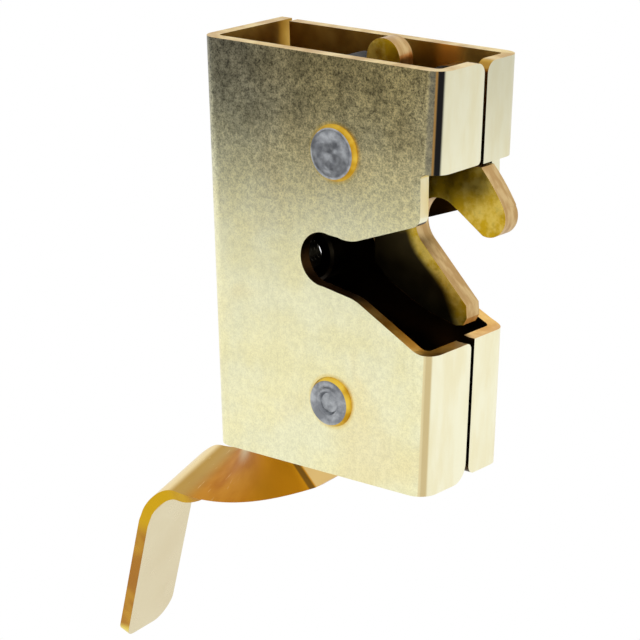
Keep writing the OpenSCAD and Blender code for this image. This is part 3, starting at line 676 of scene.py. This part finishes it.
def lever_rows():
    """Cross-sections of the strip, the bend and the tab, in order."""
    rows = [strip_row(i / TURN_STEPS) for i in range(TURN_STEPS + 1)]
    centre = BEND_FROM - BEND_R * STRIP_UP
    for i in range(1, BEND_STEPS + 1):
        turn = BEND * i / BEND_STEPS
        outward = bend_outward(turn)
        place = centre + BEND_R * outward
        rows.append(flat_row(place, -outward, flared_front(BEND_R * turn), flared_rear(turn)))
    outward = bend_outward(BEND)
    down = -math.cos(BEND) * Vector((1, 0, 0)) - math.sin(BEND) * STRIP_UP
    corner_from = min(TAB_FRONT_AT, TAB_REAR_AT)
    corner_to = TAB_REAR_AT + TAB_REAR_R - TAB_STUB
    stops = [corner_from * i / TAB_STEPS for i in range(1, TAB_STEPS)]
    for i in range(CORNER_STEPS + 1):
        stops.append(corner_from + (corner_to - corner_from) * math.sin(math.pi / 2 * i / CORNER_STEPS))
    for q in stops:
        rows.append(flat_row(centre + BEND_R * outward + q * down, -outward, *tab_edges(q)))
    return rows


def arm_outline():
    """Points round the flat arm in x and z: down along the crease, then round the eye and back."""
    crease = [CREASE_LOW + CREASE_W * k / ACROSS * CREASE_ALONG for k in range(ACROSS + 1)]
    crease = [(p.x, p.z) for p in crease]
    corners = [crease[-1], crease[0], *ARM_CORNERS]
    centre_x, centre_z = LEVER_PIVOT.x, LEVER_PIVOT.z
    full_turn = 2 * math.pi

    def bearing(p):
        return math.atan2(p[1] - centre_z, p[0] - centre_x) % full_turn

    def reach(turn):
        """Distance from the pivot to the farther of the eye and the arm's sides."""
        far = EYE_R
        ray = (math.cos(turn), math.sin(turn))
        for a, b in zip(corners, corners[1:] + corners[:1]):
            run = (b[0] - a[0], b[1] - a[1])
            away = (a[0] - centre_x, a[1] - centre_z)
            slope = ray[0] * run[1] - ray[1] * run[0]
            if abs(slope) > 1e-9:
                distance = (away[0] * run[1] - away[1] * run[0]) / slope
                share = (away[0] * ray[1] - away[1] * ray[0]) / slope
                if distance > 0 and 0 <= share <= 1:
                    far = max(far, distance)
        return far

    low, top = bearing(crease[0]), bearing(crease[-1])
    turns = [low + (full_turn - (low - top)) * i / EYE_STEPS for i in range(1, EYE_STEPS)]
    turns = sorted(turns + [low + (bearing(p) - low) % full_turn for p in ARM_CORNERS])
    rest = [(centre_x + reach(t) * math.cos(t), centre_z + reach(t) * math.sin(t)) for t in turns]
    return crease[::-1] + rest


def lever_mesh():
    """Points and faces of the lever. The arm has no side along the crease, where the strip joins it."""
    points = []
    faces = []

    def add(p):
        points.append(tuple(p))
        return len(points) - 1

    grid = [([add(p) for p in upper], [add(p) for p in lower]) for upper, lower in lever_rows()]
    for (up_a, low_a), (up_b, low_b) in zip(grid, grid[1:]):
        for k in range(ACROSS):
            faces.append((up_a[k], up_b[k], up_b[k + 1], up_a[k + 1]))
            faces.append((low_a[k], low_a[k + 1], low_b[k + 1], low_b[k]))
        faces.append((up_a[0], low_a[0], low_b[0], up_b[0]))
        faces.append((up_a[-1], up_b[-1], low_b[-1], low_a[-1]))
    up, low = grid[-1]
    for k in range(ACROSS):
        faces.append((up[k], low[k], low[k + 1], up[k + 1]))
    loop = []
    for x, z in arm_outline():
        hole = LEVER_PIVOT + EYE_BORE * (Vector((x, 0, z)) - LEVER_PIVOT).normalized()
        front = (x, LEVER_FRONT, z), (hole.x, LEVER_FRONT, hole.z)
        back = (hole.x, LEVER_BACK, hole.z), (x, LEVER_BACK, z)
        loop.append([add(p) for p in front + back])
    for i, here in enumerate(loop):
        there = loop[(i + 1) % len(loop)]
        for j in range(3 if i < ACROSS else 4):
            faces.append((here[j], here[(j + 1) % 4], there[(j + 1) % 4], there[j]))
    return points, faces


lever_points, lever_faces = lever_mesh()
lever_item = piece(
    "formed_release_lever", lever_points, lever_faces, "pawl_and_lever", "lever_sheet", "release_lever")
lever_item.data.materials.append(lever)
round_edges(lever_item, LEVER_EDGE_MM)


# Studio: a pale floor, soft lamps, and a dark card that only reflections see
FLOOR_REACH, FLOOR_GAP = 6.0, 0.002
CARD_Y, CARD_LEFT, CARD_RIGHT, CARD_LOW, CARD_TOP = -160, -520, -20, 12, 80


def backdrop_shader(owner, surface):
    """White for the camera and for reflections, and plainly lit for everything else."""
    tree = owner.node_tree
    tree.nodes.clear()
    is_world = isinstance(owner, bpy.types.World)
    out = tree.nodes.new("ShaderNodeOutputWorld" if is_world else "ShaderNodeOutputMaterial")
    white = tree.nodes.new("ShaderNodeBackground" if is_world else "ShaderNodeEmission")
    white.inputs["Color"].default_value = (1, 1, 1, 1)
    white.inputs["Strength"].default_value = 1.0
    lit = tree.nodes.new("ShaderNodeBackground" if is_world else "ShaderNodeBsdfDiffuse")
    lit.inputs["Color"].default_value = (surface, surface, surface, 1)
    path = tree.nodes.new("ShaderNodeLightPath")
    seen = tree.nodes.new("ShaderNodeMath")
    seen.operation = "MAXIMUM"
    tree.links.new(path.outputs["Is Camera Ray"], seen.inputs[0])
    tree.links.new(path.outputs["Is Glossy Ray"], seen.inputs[1])
    clear = tree.nodes.new("ShaderNodeMath")
    clear.operation = "MAXIMUM"
    tree.links.new(seen.outputs[0], clear.inputs[0])
    tree.links.new(path.outputs["Is Transmission Ray"], clear.inputs[1])
    share = tree.nodes.new("ShaderNodeMixShader")
    tree.links.new(clear.outputs[0], share.inputs[0])
    tree.links.new(lit.outputs[0], share.inputs[1])
    tree.links.new(white.outputs[0], share.inputs[2])
    tree.links.new(share.outputs[0], out.inputs["Surface"])


def flat_mesh(name, corners, material):
    """One flat face of the studio."""
    mesh = bpy.data.meshes.new(name)
    mesh.from_pydata([tuple(c) for c in corners], [], [tuple(range(len(corners)))])
    mesh.materials.append(material)
    item = bpy.data.objects.new(name, mesh)
    bpy.context.scene.collection.objects.link(item)
    return item


def area_light(name, place, aim, width, watts):
    data = bpy.data.lights.new(name, "AREA")
    data.shape = "DISK"
    data.size = width
    data.energy = watts
    item = bpy.data.objects.new(name, data)
    item.location = place
    item.rotation_euler = (Vector(aim) - Vector(place)).to_track_quat("-Z", "Y").to_euler()
    item.visible_glossy = False
    bpy.context.scene.collection.objects.link(item)


world = bpy.data.worlds.new("studio")
world.use_nodes = True
bpy.context.scene.world = world
backdrop_shader(world, 0.5)

floor_material = bpy.data.materials.new("pale_floor")
floor_material.use_nodes = True
backdrop_shader(floor_material, 0.82)
floor_z = cad_box[0][2] - FLOOR_GAP
flat_mesh("floor", [
    (-FLOOR_REACH, -FLOOR_REACH, floor_z), (FLOOR_REACH, -FLOOR_REACH, floor_z),
    (FLOOR_REACH, FLOOR_REACH, floor_z), (-FLOOR_REACH, FLOOR_REACH, floor_z)], floor_material)

card_material = bpy.data.materials.new("dark_card")
card_material.use_nodes = True
card_shader = card_material.node_tree.nodes["Principled BSDF"]
card_shader.inputs["Base Color"].default_value = (0.02, 0.02, 0.025, 1)
card_shader.inputs["Roughness"].default_value = 1.0
card = flat_mesh("dark_card", [
    at(CARD_LEFT, CARD_Y, CARD_LOW), at(CARD_RIGHT, CARD_Y, CARD_LOW),
    at(CARD_RIGHT, CARD_Y, CARD_TOP), at(CARD_LEFT, CARD_Y, CARD_TOP)], card_material)
card.visible_camera = False
card.visible_diffuse = False
card.visible_shadow = False

middle = at(31, 14, 45)
area_light("key", at(500, -500, 600), middle, 0.5, 5.0)
area_light("fill", at(-600, -300, 350), middle, 0.6, 2.0)
area_light("back", at(150, 600, 500), middle, 0.5, 3.0)
